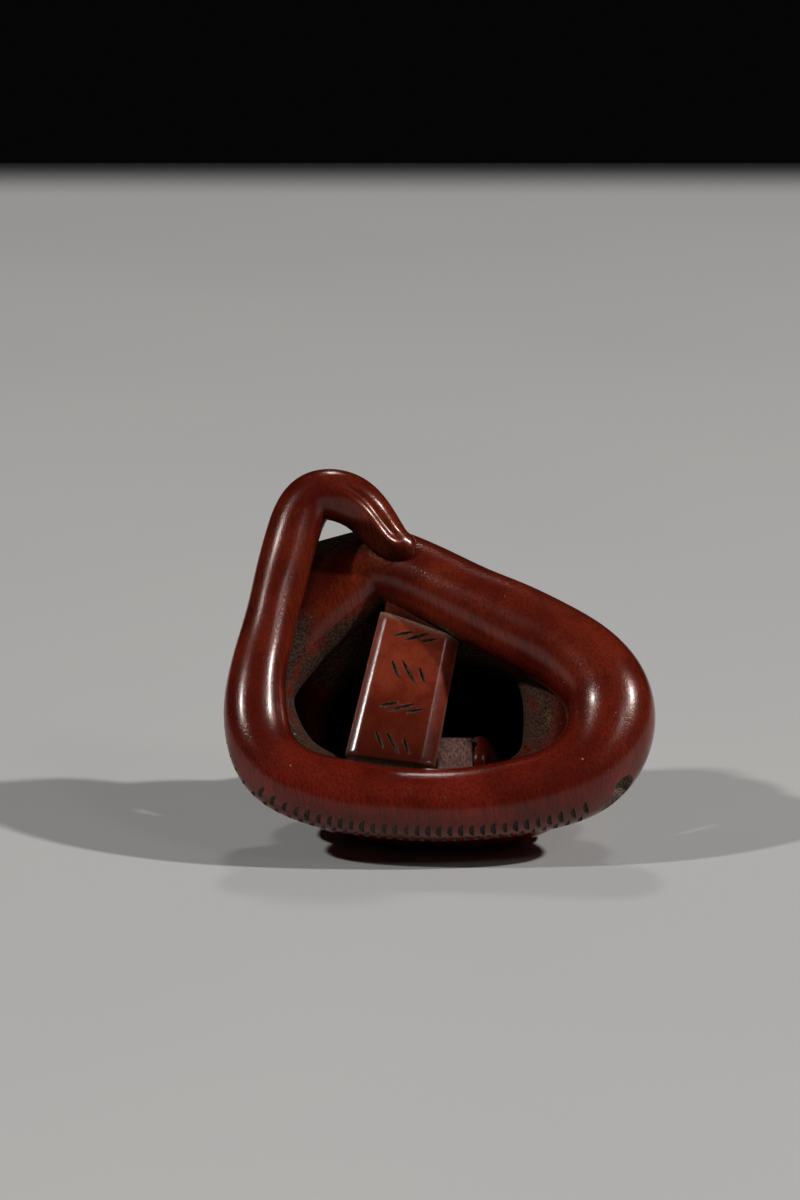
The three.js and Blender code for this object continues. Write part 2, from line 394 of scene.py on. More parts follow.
def sweepTree():
    # rings along a path that holds each ring's size and underside
    sockets = {"Path": "Geometry", "Ring Sides": "Int", "Finish": "Material"}
    graph, (path, sides, finish) = startTree("bodySweep", sockets)
    line = graph.node("GeometryNodeMeshToCurve", None, {"Mesh": path})
    normals = {"Curve": line, "Normal": held(graph, "underside", "FLOAT_VECTOR")}
    line = graph.node("GeometryNodeSetCurveNormal", {"mode": "FREE"}, normals)
    ring = graph.node("GeometryNodeCurvePrimitiveCircle", None, {"Resolution": sides, "Radius": 1.0})
    size = held(graph, "ringRadius", "FLOAT")
    rings = {"Curve": line, "Profile Curve": ring, "Scale": size, "Fill Caps": True}
    return endTree(graph, graph.node("GeometryNodeCurveToMesh", None, rings), finish)


def addNodes(piece, tree, values):
    swept = piece.modifiers.new(tree.name, "NODES")
    swept.node_group = tree
    names = namedInputs(tree)
    for label, value in values.items():
        swept[names[label]] = value
    return settle(piece)


def bodyStretch(number, tree, finish):
    first = number * snake["stationsPerStretch"]
    final = min(first + snake["stationsPerStretch"], lastStation)
    start, stop = np.interp([first, final], fineStations, runLength)
    rings = math.ceil((stop - start) / snake["ringSteps"][number])
    run = np.linspace(start, stop, rings + 1)
    inner = np.linspace(0, 1, snake["endRings"] + 2)[1:-1] ** 2
    ends = [relief[end]["length"] * inner for end in ("tailEnd", "snoutEnd")]
    if number == 0:
        run = np.union1d(run, ends[0])
    if final == lastStation:
        run = np.union1d(run, stop - ends[1])
    reach = np.ones_like(run)
    if number > 0:  # one narrow ring inside the stretch before
        run = np.insert(run, 0, start - snake["ringSteps"][number])
        reach = np.insert(reach, 0, snake["hiddenReach"])
    at = np.interp(run, runLength, fineStations)
    body = bodyAt(at)
    path = bpy.data.meshes.new("path")
    path.from_pydata(body["centre"].tolist(), [(i, i + 1) for i in range(len(at) - 1)], [])
    writeValues(path, "station", at)
    writeValues(path, "reach", reach * roundEnds(run))
    writeValues(path, "ringRadius", body["radius"])
    layer = path.attributes.new("underside", "FLOAT_VECTOR", "POINT")
    layer.data.foreach_set("vector", body["under"].astype(np.float32).ravel())
    values = {"Ring Sides": snake["ringSides"], "Finish": finish}
    piece = addNodes(addObject(f"stretch{number}", path), tree, values)
    carveSkin(piece.data)
    return piece


def carveSkin(mesh):
    # every ring point goes to its place on the carved skin
    at = readValues(mesh, "station")
    reach = readValues(mesh, "reach")
    body = bodyAt(at)
    offset = readPoints(mesh) - body["centre"]
    side = np.arctan2(np.sum(offset * body["out"], axis=1), np.sum(offset * body["under"], axis=1))
    lift = skinLift(at, side, body["radius"]) * (reach > snake["fullReach"])
    points = skin(body, side, reach, lift)
    mesh.vertices.foreach_set("co", points.astype(np.float32).ravel())
    for name in ("station", "reach", "ringRadius", "underside"):
        mesh.attributes.remove(mesh.attributes[name])
    mesh.update()


def onSkin(station, side, turn=0.0):
    # a place on the skin, with x ahead along the body, y across and z out of the skin
    body = bodyAt([station])
    place = skin(body, np.radians([side]))[0]
    outward = Vector(place - body["centre"][0]).normalized()
    ahead = Vector(body["ahead"][0])
    across = outward.cross(ahead).normalized()
    basis = Matrix((ahead, across, outward)).transposed().to_4x4()
    return Matrix.Translation(Vector(place)) @ basis @ Matrix.Rotation(math.radians(turn), 4, "Z")


# Wood left standing, the eyes, and the tablet that bridges the hollow
leftWood = {
    "heart": {"centre": (-0.5, 15.2, -0.6), "half": (8.5, 2.0, 5.2)},
    "knuckle": {"centre": (4.1, 8.3, -6.5), "half": (2.1, 4.3, 3.2)},
    "foot": {"centre": (1.6, 7.7, -7.3), "size": (3.6, 7.4, 5.6), "edge": 0.25},
    "webBalls": [(-6.6, 5.2, 13.6, 3.85), (-13.9, 6.35, 7.1, 3.68), (-12.4, 5.6, 12.8, 3.2)],
    "webLongest": 1.0,
    "webSegments": 48,
    "edgeSegments": 3,
    "segments": 64,
}
eye = {"radius": 0.75, "segments": 24}  # each lies in its ring


def addBall(shape, segments, matrix=Matrix(), radius=1):
    size = {"u_segments": segments, "v_segments": segments // 2, "radius": radius}
    bmesh.ops.create_uvsphere(shape, matrix=matrix, **size)


def ball(name, matrix, segments, finish):
    def build(shape):
        addBall(shape, segments, matrix)
    return addObject(name, meshOf(name, build), finish)


def stretchedWeb(finish):
    # the web in the bend behind the tail: one skin stretched over three balls, in small faces
    def build(shape):
        for x, y, z, radius in leftWood["webBalls"]:
            addBall(shape, leftWood["webSegments"], Matrix.Translation((x, y, z)), radius)
        bmesh.ops.delete(shape, geom=shape.faces[:], context="FACES_ONLY")
        bmesh.ops.convex_hull(shape, input=shape.verts[:])
        bmesh.ops.delete(shape, geom=[v for v in shape.verts if not v.link_faces], context="VERTS")
        while True:
            long = [edge for edge in shape.edges if edge.calc_length() > leftWood["webLongest"]]
            if not long:
                break
            bmesh.ops.subdivide_edges(shape, edges=long, cuts=1)
            bmesh.ops.triangulate(shape, faces=shape.faces[:])
    return addObject("web", meshOf("web", build), finish)


def footBlock(finish):
    part = leftWood["foot"]

    def build(shape):
        matrix = Matrix.Translation(part["centre"]) @ Matrix.Diagonal((*part["size"], 1))
        bmesh.ops.create_cube(shape, size=1, matrix=matrix)
        bevel = {"offset": part["edge"], "segments": leftWood["edgeSegments"], "profile": 0.5}
        bmesh.ops.bevel(shape, geom=shape.edges[:], affect="EDGES", **bevel)
    return addObject("foot", meshOf("foot", build), finish)


def standingWood(finish):
    yield stretchedWeb(finish)
    for name in ("heart", "knuckle"):
        part = leftWood[name]
        matrix = Matrix.Translation(part["centre"]) @ Matrix.Diagonal((*part["half"], 1))
        yield ball(name, matrix, leftWood["segments"], finish)
    ring = relief["eyeRing"]
    for side in (ring["side"], -ring["side"]):
        matrix = onSkin(lastStation - ring["before"], side) @ Matrix.Scale(eye["radius"], 4)
        yield ball("eye", matrix, eye["segments"], finish)


tablet = {
    "corners": [(-9.2, -7.2), (-0.4, -8.3), (2.1, 5.3), (-5.6, 8.2)],  # x and up, from the low left
    "face": 2.4,
    "back": 4.8,
    "bridgeFront": 3.6,
    "bridgeBack": 6.5,
    "bridgeScale": (0.72, 1.22),
    "steps": (36, 56),
    "bridgeSteps": (6, 12),
    "leftFacet": (0.12, 0.5),  # the share of the width, and how far it drops
    "rightFacet": (0.17, 0.85),
    "crown": 0.14,
    "bow": 0.45,
    "footDrop": (0.06, 0.9),
    "topDrop": (0.03, 0.25),
    "facetCurve": 1.5,
}


def tabletPoint(u, v, scale=(1, 1)):
    lowLeft, lowRight, topRight, topLeft = [Vector(corner) for corner in tablet["corners"]]
    middle = (lowLeft + lowRight + topRight + topLeft) / 4
    spot = lowLeft.lerp(lowRight, u).lerp(topLeft.lerp(topRight, u), v) - middle
    return Vector((spot.x * scale[0], spot.y * scale[1])) + middle


def tabletDepth(u, v):
    # a slightly crowned face that falls away to a facet along each edge
    depth = tablet["face"] + tablet["crown"] * (2 * u - 1) ** 2 + tablet["bow"] * (1 - v) ** 2
    edges = {"leftFacet": u, "rightFacet": 1 - u, "footDrop": v, "topDrop": 1 - v}
    for name, inward in edges.items():
        share, drop = tablet[name]
        depth += drop * max(0, 1 - inward / share) ** tablet["facetCurve"]
    return depth


def slabOf(name, depthAt, back, scale, steps, finish):
    # a slab with the tablet's outline: a shaped face, straight sides and a flat back
    def build(shape):
        columns, rows = steps
        face, rear = {}, {}
        for i in range(columns + 1):
            for j in range(rows + 1):
                u, v = i / columns, j / rows
                spot = tabletPoint(u, v, scale)
                face[i, j] = shape.verts.new((spot.x, depthAt(u, v), spot.y))
                rear[i, j] = shape.verts.new((spot.x, back, spot.y))
        for i in range(columns):
            for j in range(rows):
                cell = [(i, j), (i + 1, j), (i + 1, j + 1), (i, j + 1)]
                shape.faces.new([face[c] for c in cell])
                shape.faces.new([rear[c] for c in reversed(cell)])
        rim = [(i, 0) for i in range(columns)] + [(columns, j) for j in range(rows)]
        rim += [(i, rows) for i in range(columns, 0, -1)] + [(0, j) for j in range(rows, 0, -1)]
        for a, b in zip(rim, rim[1:] + rim[:1]):
            shape.faces.new([face[a], rear[a], rear[b], face[b]])
    return addObject(name, meshOf(name, build), finish)


def tabletParts(tabletFinish, bodyFinish):
    yield slabOf("tablet", tabletDepth, tablet["back"], (1, 1), tablet["steps"], tabletFinish)
    front = lambda u, v: tablet["bridgeFront"]
    scale, steps = tablet["bridgeScale"], tablet["bridgeSteps"]
    yield slabOf("bridge", front, tablet["bridgeBack"], scale, steps, bodyFinish)


# Cuts: scale rows, strokes on the tablet, the chip and the scrape beside it, and the flat it stands on
scaleRows = {
    "rows": [  # side angle, first and last station, spacing
        (66, 9.8, 14.85, 0.98), (92, 4.2, 14.7, 0.98), (118, 2.6, 47.2, 1.3), (144, 2.6, 47.4, 1.3),
        (170, 3.0, 47.6, 1.3), (196, 3.0, 47.6, 1.3), (222, 24.0, 47.4, 1.3), (248, 25.0, 47.2, 1.3),
    ],
    "gouge": (0.5, 0.82, 0.34),  # length, half width and depth
    "sizes": (0.92, 1.12),
    "seed": 7,
    "clear": 0.55,
    "floorClear": 0.7,
    "ownStations": 1.6,  # nearer stations belong to the same coil
    "webGrid": 8,
    "segments": 12,
}
strokes = {
    "groups": 4,
    "groupOffset": 0.6,
    "lengths": (2.0, 2.8, 1.8),
    "width": 0.36,
    "depth": 0.3,
    "spread": 1.3,
    "fall": 0.25,
    "turns": [(68, 62, 72), (-12, -16, -9)],
    "segments": 12,
}
chip = {"station": 15.2, "side": 74, "turn": 35, "half": (1.4, 1.25, 1.0), "rough": 0.14, "seed": 4,
        "divisions": 3}
scrape = {"station": 15.0, "side": 86, "turn": 24, "half": (1.5, 0.75, 0.3), "segments": 20}
groundSize = 100  # millimetres


def gougeTree():
    # one gouge mark on every point, turned to the skin
    sockets = {"Points": "Geometry", "Gouge": "Object", "Smallest": "Float", "Largest": "Float",
               "Seed": "Int", "Finish": "Material"}
    graph, (points, gouge, smallest, largest, seed, finish) = startTree("scaleRows", sockets)
    mark = graph.node("GeometryNodeObjectInfo", None, {"Object": gouge}, 4)
    sizes = {"Min_001": smallest, "Max_001": largest, "Seed": seed}
    made = graph.tree.nodes.new("FunctionNodeRandomValue")
    for socket in made.inputs:
        if socket.identifier in sizes:
            graph.tree.links.new(sizes[socket.identifier].socket, socket)
    size = Wire(graph, made.outputs[1])
    turn = held(graph, "turn", "QUATERNION")
    placed = {"Points": points, "Instance": mark, "Rotation": turn, "Scale": size}
    return endTree(graph, graph.node("GeometryNodeInstanceOnPoints", None, placed), finish)


def scalePlaces():
    # stations and sides of the marks that lie free of the neighbouring coils
    at, sides = [], []
    for number, (side, first, final, spacing) in enumerate(scaleRows["rows"]):
        start, stop = np.interp([first, final], fineStations, runLength)
        run = np.arange(start + (number % 2) * spacing / 2, stop, spacing)
        at.append(np.interp(run, runLength, fineStations))
        sides.append(np.full(len(run), math.radians(side)))
    at, sides = np.concatenate(at), np.concatenate(sides)
    points = skin(bodyAt(at), sides)
    free = np.ones(len(at), bool)
    for spot, radius, station in zip(fineBody["centre"], fineBody["radius"], fineStations):
        gap = np.linalg.norm(points - spot, axis=1) - radius
        free &= (gap > scaleRows["clear"]) | (np.abs(at - station) < scaleRows["ownStations"])
    heart = leftWood["heart"]
    share = np.linalg.norm((points - heart["centre"]) / heart["half"], axis=1)
    free &= share > 1 + scaleRows["clear"] / min(heart["half"])
    grid = scaleRows["webGrid"]
    shares = [(i, j, grid - i - j) for i in range(grid + 1) for j in range(grid + 1 - i)]
    for *spot, radius in np.array(shares) / grid @ np.array(leftWood["webBalls"]):
        free &= np.linalg.norm(points - spot, axis=1) > radius + scaleRows["clear"]
    height = points @ np.array(lean.to_3x3())[2] + stance["seat"][2]
    free &= height > scaleRows["floorClear"]
    return at[free], sides[free]


def scaleMarks(finish):
    at, sides = scalePlaces()
    points, turns = [], []
    for station, side in zip(at, sides):
        place = onSkin(station, math.degrees(side))
        points.append(place.translation)
        turns.append(place.to_quaternion())
    dots = bpy.data.meshes.new("scaleDots")
    dots.from_pydata([tuple(p) for p in points], [], [])
    layer = dots.attributes.new("turn", "QUATERNION", "POINT")
    layer.data.foreach_set("value", np.array([tuple(t) for t in turns], np.float32).ravel())

    def build(shape):
        size = Matrix.Diagonal((*scaleRows["gouge"], 1))
        addBall(shape, scaleRows["segments"])
        parts = shape.verts[:] + shape.edges[:] + shape.faces[:]
        cut = bmesh.ops.bisect_plane(shape, geom=parts, plane_no=(1, 0, 0), clear_outer=True)
        rim = [e for e in cut["geom_cut"] if isinstance(e, bmesh.types.BMEdge)]
        bmesh.ops.edgenet_fill(shape, edges=rim)
        bmesh.ops.transform(shape, matrix=size, verts=shape.verts)
    gouge = addObject("gouge", meshOf("gouge", build))
    low, high = scaleRows["sizes"]
    values = {"Gouge": gouge, "Smallest": low, "Largest": high, "Seed": scaleRows["seed"], "Finish": finish}
    marks = addNodes(addObject("scaleMarks", dots), gougeTree(), values)
    bpy.data.objects.remove(gouge)
    print(f"{len(at)} scale marks")
    return marks


def strokeMarks(finish):
    def build(shape):
        for group in range(strokes["groups"]):
            height = (group + strokes["groupOffset"]) / strokes["groups"]
            centre = tabletPoint(0.5, height)
            turns = strokes["turns"][group % len(strokes["turns"])]
            for i, (length, turn) in enumerate(zip(strokes["lengths"], turns)):
                across = (i - 1) * strokes["spread"]
                depth = tabletDepth(0.5, height)
                place = Matrix.Translation((centre.x + across, depth, centre.y - strokes["fall"] * across))
                size = Matrix.Diagonal((length / 2, strokes["depth"], strokes["width"] / 2, 1))
                matrix = place @ Matrix.Rotation(math.radians(turn), 4, "Y") @ size
                addBall(shape, strokes["segments"], matrix)
    return addObject("strokes", meshOf("strokes", build), finish)


def chipBreak(finish):
    def build(shape):
        bmesh.ops.create_icosphere(shape, subdivisions=chip["divisions"], radius=1)
        dice = np.random.default_rng(chip["seed"])
        for vert in shape.verts:
            vert.co *= 1 + chip["rough"] * (dice.random() - 0.5)
        size = Matrix.Diagonal((*chip["half"], 1))
        matrix = onSkin(chip["station"], chip["side"], chip["turn"]) @ size
        bmesh.ops.transform(shape, matrix=matrix, verts=shape.verts)
    return addObject("chip", meshOf("chip", build), finish)


def scrapeMark(finish):
    size = Matrix.Diagonal((*scrape["half"], 1))
    matrix = onSkin(scrape["station"], scrape["side"], scrape["turn"]) @ size
    return ball("scrape", matrix, scrape["segments"], finish)


def groundBlock(finish):
    def build(shape):
        matrix = lean.inverted() @ Matrix.Translation((0, 0, -groundSize / 2))
        bmesh.ops.create_cube(shape, size=groundSize, matrix=matrix)
    return addObject("ground", meshOf("ground", build), finish)


# Finishes: each is one function, with its colours beside it
boxwood = {
    "deep": stain(96, 28, 17),
    "warm": stain(140, 58, 32),
    "red": stain(128, 40, 29),
    "ember": stain(132, 58, 28),
    "shade": stain(40, 10, 7),
    "pore": stain(44, 10, 8),
    "dust": stain(80, 64, 54),
    "dustDark": stain(40, 26, 21),
    "grime": stain(40, 36, 30),
    "moss": stain(118, 108, 66),
    "crust": stain(150, 136, 116),
    # a near-black tone painted as shadow at the back of the hollow and under the tail
    "paintedShadow": stain(12, 6, 5),
    "speck": stain(225, 205, 190),
    "grainTurn": (0.0, 0.18, 0.0),
    "streakGrowth": (5.0, 5.0, 0.3),
    "poreGrowth": (13.0, 13.0, 1.8),
    "noises": {  # scale, detail and roughness
        "streak": (1.0, 3.0, 0.65),
        "pore": (1.0, 1.0),
        "cloud": (0.16, 2.0, 0.5),
        "fine": (5.0, 2.0, 0.5),
        "grit": (3.4, 1.0),
    },
    "bands": {  # values between which a tone comes in
        "pore": (0.66, 0.74),
        "heights": (4.0, 30.0),  # millimetres, from the redder foot to the browner top
        "cloud": (0.3, 0.7),
        "streak": (0.42, 0.62),
        "shade": (0.25, 0.85),
        "crevice": (0.13, 0.42),
        "grime": (0.35, 0.6),
        "dustTone": (0.35, 0.65),
        "dust": (0.3, 0.6),
        "moss": (0.4, 0.6),
        "crust": (0.36, 0.56),
        "speck": (0.79, 0.82),
        "dull": (0.02, 0.6),
    },
    "shares": {"streak": 0.45, "pore": 0.5, "wear": 0.6, "shade": 0.6, "grime": 0.8, "paintedShadow": 0.92,
               "speck": 0.7},
    "dustGain": 1.2,
    "dustDull": 1.4,
    "poreDepth": 0.6,
    "crustRise": 1.5,
    "gloss": (0.18, 0.08),  # roughness, and how far the fine noise adds to it
    "mirror": 0.36,
    "bump": {"Strength": 0.45, "Distance": 0.05 * stance["unit"]},
    "varnish": {
        "Coat Weight": 1.0,
        "Coat IOR": 1.27,
        "Coat Roughness": 0.2,
        "Coat Tint": (0.78, 0.6, 0.52, 1.0),
    },
}


def startFinish(name):
    finish = bpy.data.materials.new(name)
    finish.use_nodes = True
    finish.node_tree.nodes.clear()
    graph = Graph(finish.node_tree)
    place = graph.node("ShaderNodeTexCoord", None, None, 3)  # Object coordinates
    return finish, graph, graph.grow(place, (1 / stance["unit"],) * 3)


def endFinish(graph, inputs, matte=None):
    # matte is the share of the surface that dust, dirt and the painted shadow take the shine from
    surface = graph.node("ShaderNodeBsdfPrincipled", None, inputs)
    if matte:
        plain = {"Base Color": inputs["Base Color"], "Roughness": 1.0, "Specular IOR Level": 0.0}
        dusty = graph.node("ShaderNodeBsdfPrincipled", None, plain)
        surface = graph.node("ShaderNodeMixShader", None, {0: matte, 1: surface, 2: dusty})
    outlet = graph.tree.nodes.new("ShaderNodeOutputMaterial")
    graph.tree.links.new(surface.socket, outlet.inputs["Surface"])


def woodGrain(graph, place):
    # fine streaks along the grain, and pores as short dark dashes
    turned = graph.node("ShaderNodeMapping", None, {"Vector": place, "Rotation": boxwood["grainTurn"]})
    noises = boxwood["noises"]
    streak = graph.noise(graph.grow(turned, boxwood["streakGrowth"]), *noises["streak"])
    pore = graph.noise(graph.grow(turned, boxwood["poreGrowth"]), *noises["pore"])
    return streak, pore.clear(*boxwood["bands"]["pore"])


def stainedBoxwood():
    finish, graph, place = startFinish("stainedBoxwood")
    streak, pore = woodGrain(graph, place)
    cloud, fine, grit = [graph.noise(place, *boxwood["noises"][name]) for name in ("cloud", "fine", "grit")]
    bands, shares = boxwood["bands"], boxwood["shares"]
    openShare = graph.attribute("openness")
    height = graph.node("ShaderNodeSeparateXYZ", None, {"Vector": place}, 2)
    rich = graph.mix(height.clear(*bands["heights"]), boxwood["red"], boxwood["warm"])
    colour = graph.mix(cloud.clear(*bands["cloud"]), boxwood["deep"], rich)
    colour = graph.mix(streak.clear(*bands["streak"]) * shares["streak"], colour, boxwood["pore"])
    colour = graph.mix(pore * shares["pore"], colour, boxwood["pore"])
    colour = graph.mix(graph.attribute("wornEdge") * shares["wear"], colour, boxwood["ember"])
    shade = 1.0 - openShare.clear(*bands["shade"])
    colour = graph.mix(shade * shares["shade"], colour, boxwood["shade"])
    crevice = (1.0 - openShare.clear(*bands["crevice"])) * (0.5 + 0.5 * fine.clear(*bands["grime"]))
    colour = graph.mix(crevice * shares["grime"], colour, boxwood["grime"])
    dustTone = graph.mix(fine.clear(*bands["dustTone"]), boxwood["dustDark"], boxwood["dust"])
    dustShare = (graph.attribute("hollowDust") * boxwood["dustGain"]).clear(0.0, 1.0)
    dustShare = dustShare * (0.8 + 0.2 * fine.clear(*bands["dust"]))
    colour = graph.mix(dustShare, colour, dustTone)
    colour = graph.mix(graph.attribute("moss") * fine.clear(*bands["moss"]), colour, boxwood["moss"])
    crust = graph.attribute("crust") * fine.clear(*bands["crust"])
    colour = graph.mix(crust, colour, boxwood["crust"])
    # painted shadow: near-black at the back of the hollow and under the tail
    paintedShadow = graph.attribute("paintedShadow")
    colour = graph.mix(paintedShadow * shares["paintedShadow"], colour, boxwood["paintedShadow"])
    colour = graph.mix(grit.clear(*bands["speck"]) * shares["speck"], colour, boxwood["speck"])
    dull = (crevice + boxwood["dustDull"] * dustShare + crust + paintedShadow).clear(*bands["dull"])
    bumps = fine + streak - pore * boxwood["poreDepth"] + crust * boxwood["crustRise"]
    gloss, uneven = boxwood["gloss"]
    endFinish(graph, {
        "Base Color": colour,
        "Roughness": gloss + uneven * fine,
        "Normal": graph.bump(boxwood["bump"], bumps),
        "Specular IOR Level": boxwood["mirror"],
        **boxwood["varnish"],
    }, dull)
    return finish


tabletWood = {
    # a dark tone for the grain streaks and for painted shade towards the tablet's foot
    "low": stain(60, 13, 4),
    "deep": stain(106, 33, 18),
    "warm": stain(138, 56, 33),
    "pale": stain(170, 140, 115),
    "noises": {"cloud": (0.35, 3.0, 0.6), "fine": (7.0, 3.0, 0.65)},
    "bands": {
        "cloud": (0.3, 0.7),
        "rise": (-0.1, 0.75),
        "streak": (0.45, 0.75),
        "crevice": (0.2, 0.5),
        "crust": (0.36, 0.56),
        "dull": (0.1, 0.9),
    },
    "shares": {"streak": 0.35, "pore": 0.45, "wear": 0.35, "crevice": 0.8, "paintedShadow": 0.92},
    "depths": {"fine": 0.5, "streak": 0.7, "pore": 0.6},
    "gloss": (0.16, 0.12),
    "mirror": 0.5,
    "bump": {"Strength": 0.3, "Distance": 0.03 * stance["unit"]},
}


def polishedTablet():
    finish, graph, place = startFinish("polishedTablet")
    streak, pore = woodGrain(graph, place)
    cloud, fine = [graph.noise(place, *tabletWood["noises"][name]) for name in ("cloud", "fine")]
    bands, shares, depths = tabletWood["bands"], tabletWood["shares"], tabletWood["depths"]
    # the tablet darkens towards its foot: painted shade
    rise = graph.attribute("tabletRise").clear(*bands["rise"])
    colour = graph.mix(cloud.clear(*bands["cloud"]), tabletWood["deep"], tabletWood["warm"])
    colour = graph.mix(rise, tabletWood["low"], colour)
    colour = graph.mix(streak.clear(*bands["streak"]) * shares["streak"], colour, tabletWood["low"])
    colour = graph.mix(pore * shares["pore"], colour, boxwood["pore"])
    colour = graph.mix(graph.attribute("wornEdge") * shares["wear"], colour, tabletWood["pale"])
    crevice = 1.0 - graph.attribute("openness").clear(*bands["crevice"])
    colour = graph.mix(crevice * shares["crevice"], colour, boxwood["dustDark"])
    crust = graph.attribute("crust") * fine.clear(*bands["crust"])
    colour = graph.mix(crust, colour, boxwood["crust"])
    # painted shadow at the back of the hollow
    colour = graph.mix(graph.attribute("paintedShadow") * shares["paintedShadow"], colour, boxwood["paintedShadow"])
    bumps = fine * depths["fine"] + streak * depths["streak"] - pore * depths["pore"]
    gloss, uneven = tabletWood["gloss"]
    endFinish(graph, {
        "Base Color": colour,
        "Roughness": gloss + uneven * fine,
        "Normal": graph.bump(tabletWood["bump"], bumps),
        "Specular IOR Level": tabletWood["mirror"],
    }, (crevice + crust).clear(*bands["dull"]))
    return finish


cutWood = {
    "noise": (5.0, 4.0, 0.7),
    "band": (0.4, 0.7),
    "bump": {"Strength": 0.5, "Distance": 0.06 * stance["unit"]},
}
cutTones = {  # dark and pale tone, roughness, and how far the tones are drawn out upward
    "grime": (stain(34, 26, 22), stain(86, 74, 62), 0.6, 1.0),
    "stroke": (stain(36, 28, 22), stain(112, 100, 84), 0.4, 1.0),
    "rawWood": (stain(46, 30, 22), stain(132, 104, 84), 0.7, 1.0),
    "endGrain": (stain(56, 26, 20), stain(128, 84, 68), 0.7, 0.22),
    "scraped": (stain(48, 34, 28), stain(108, 94, 78), 0.5, 1.0),
}


def cutFinish(name):
    # the floor of a cut: two tones, broken up finely
    dark, pale, roughness, drawn = cutTones[name]
    finish, graph, place = startFinish(name)
    fine = graph.noise(graph.grow(place, (1.0, 1.0, drawn)), *cutWood["noise"])
    endFinish(graph, {
        "Base Color": graph.mix(fine.clear(*cutWood["band"]), dark, pale),
        "Roughness": roughness,
        "Normal": graph.bump(cutWood["bump"], fine),
    })
    return finish


# What the finishes read from the surface: how open it is, dust and dirt, painted shadow at the dark back of
# the hollow and under the tail, crust beside the tablet, and worn edges
surfaceMarks = {
    "rays": 44,
    "reach": 7.0,
    "lowest": 0.12,
    "liftOff": 0.03,
    "openPlaces": (0.7, 0.95),
    "hollowAxis": (-0.5, -0.6),
    "dustDepth": (2.4, 5.2),
    "dustFacing": (0.0, 0.5),
    "webDust": (10.0, 6.5),  # up, on the wall below the web
    "webAcross": (-3.0, -6.0),
    "webDepth": (1.5, 3.5),
    "webBack": 8.0,
    "webInward": (-0.45, -0.1),
    "webFront": (0.3, -0.3),
    "edgeTurn": (0.06, 0.4),
    "moss": {"centre": (10.9, 6.5, -3.0), "half": (0.9, 3.0, 3.4), "edge": (1.0, 0.5), "dust": (0, 0.4)},
    "crustWidth": 0.42,
    "crustSteps": 60,
    # where the back of the hollow gets painted shadow
    "paintedShadowDepth": (7.0, 9.5),
    "paintedShadowHalf": (12.0, 8.5),
    "paintedShadowEdge": (1.1, 0.85),
    "paintedShadowFront": (0.3, -0.2),
    "ridgeDust": {
        "centre": (-9.6, 3.2, 14.6),
        "half": (4.4, 3.4, 3.0),
        "edge": (1.0, 0.7),
        "facing": (-0.1, 0.5),
        "share": 0.75,
    },
    # the tail's downward faces get painted shadow
    "underTail": {
        "centre": (-6.3, 0.8, 15.0),
        "half": (5.8, 3.4, 4.2),
        "edge": (1.0, 0.7),
        "facing": (0.05, -0.6),
        "share": 0.8,
    },
}


def rayDirections():
    # directions spread evenly over a ball
    count = surfaceMarks["rays"]
    number = np.arange(count) + 0.5
    height = 1 - 2 * number / count
    turn = number * math.pi * (1 + math.sqrt(5))
    ring = np.sqrt(1 - height**2)
    return np.column_stack([ring * np.cos(turn), ring * np.sin(turn), height])


def openness(mesh, points, normals):
    polygons = [tuple(face.vertices) for face in mesh.polygons]
    tree = BVHTree.FromPolygons(points.tolist(), polygons)
    directions = rayDirections()
    facing = normals @ directions.T
    starts = points + normals * surfaceMarks["liftOff"]
    reach = surfaceMarks["reach"]
    vectors = [Vector(d) for d in directions]
    shares = np.empty(len(points))
    for i, start in enumerate(starts.tolist()):
        seen = np.nonzero(facing[i] > surfaceMarks["lowest"])[0]
        clear = [facing[i, k] for k in seen if tree.ray_cast(start, vectors[k], reach)[0] is None]
        shares[i] = sum(clear) / max(facing[i, seen].sum(), 1e-6)
    return shares


def edgeTurns(mesh, points, normals):
    # how far neighbours fall away below each point, for its distance
    pairs = np.empty(len(mesh.edges) * 2, np.int32)
    mesh.edges.foreach_get("vertices", pairs)
    first, second = pairs.reshape(-1, 2).T
    step = points[second] - points[first]
    length = np.maximum(np.linalg.norm(step, axis=1), 1e-4)
    turn = np.zeros(len(points))
    count = np.zeros(len(points))
    for here, way in ((first, step), (second, -step)):
        fall = -np.sum(way * normals[here], axis=1) / length
        np.add.at(turn, here, fall)
        np.add.at(count, here, 1)
    return turn / np.maximum(count, 1)


def nearTablet(points):
    # how close each point lies to the tablet's top edge or to its foot
    gaps = []
    for v in (0.0, 1.0):
        for u in np.linspace(0, 1, surfaceMarks["crustSteps"]):
            spot = tabletPoint(float(u), v)
            edge = np.array((spot.x, tabletDepth(float(u), v), spot.y))
            gaps.append(np.linalg.norm(points - edge, axis=1))
    return np.min(gaps, axis=0)


def patch(name, points):
    # a soft patch of the skin, 1 in its middle
    mark = surfaceMarks[name]
    away = np.linalg.norm((points - mark["centre"]) / mark["half"], axis=1)
    return smoothStep(*mark["edge"], away)


def facingPatch(name, points, normals):
    # the share of a patch that faces up or down
    mark = surfaceMarks[name]
    return mark["share"] * patch(name, points) * smoothStep(*mark["facing"], normals[:, 2])


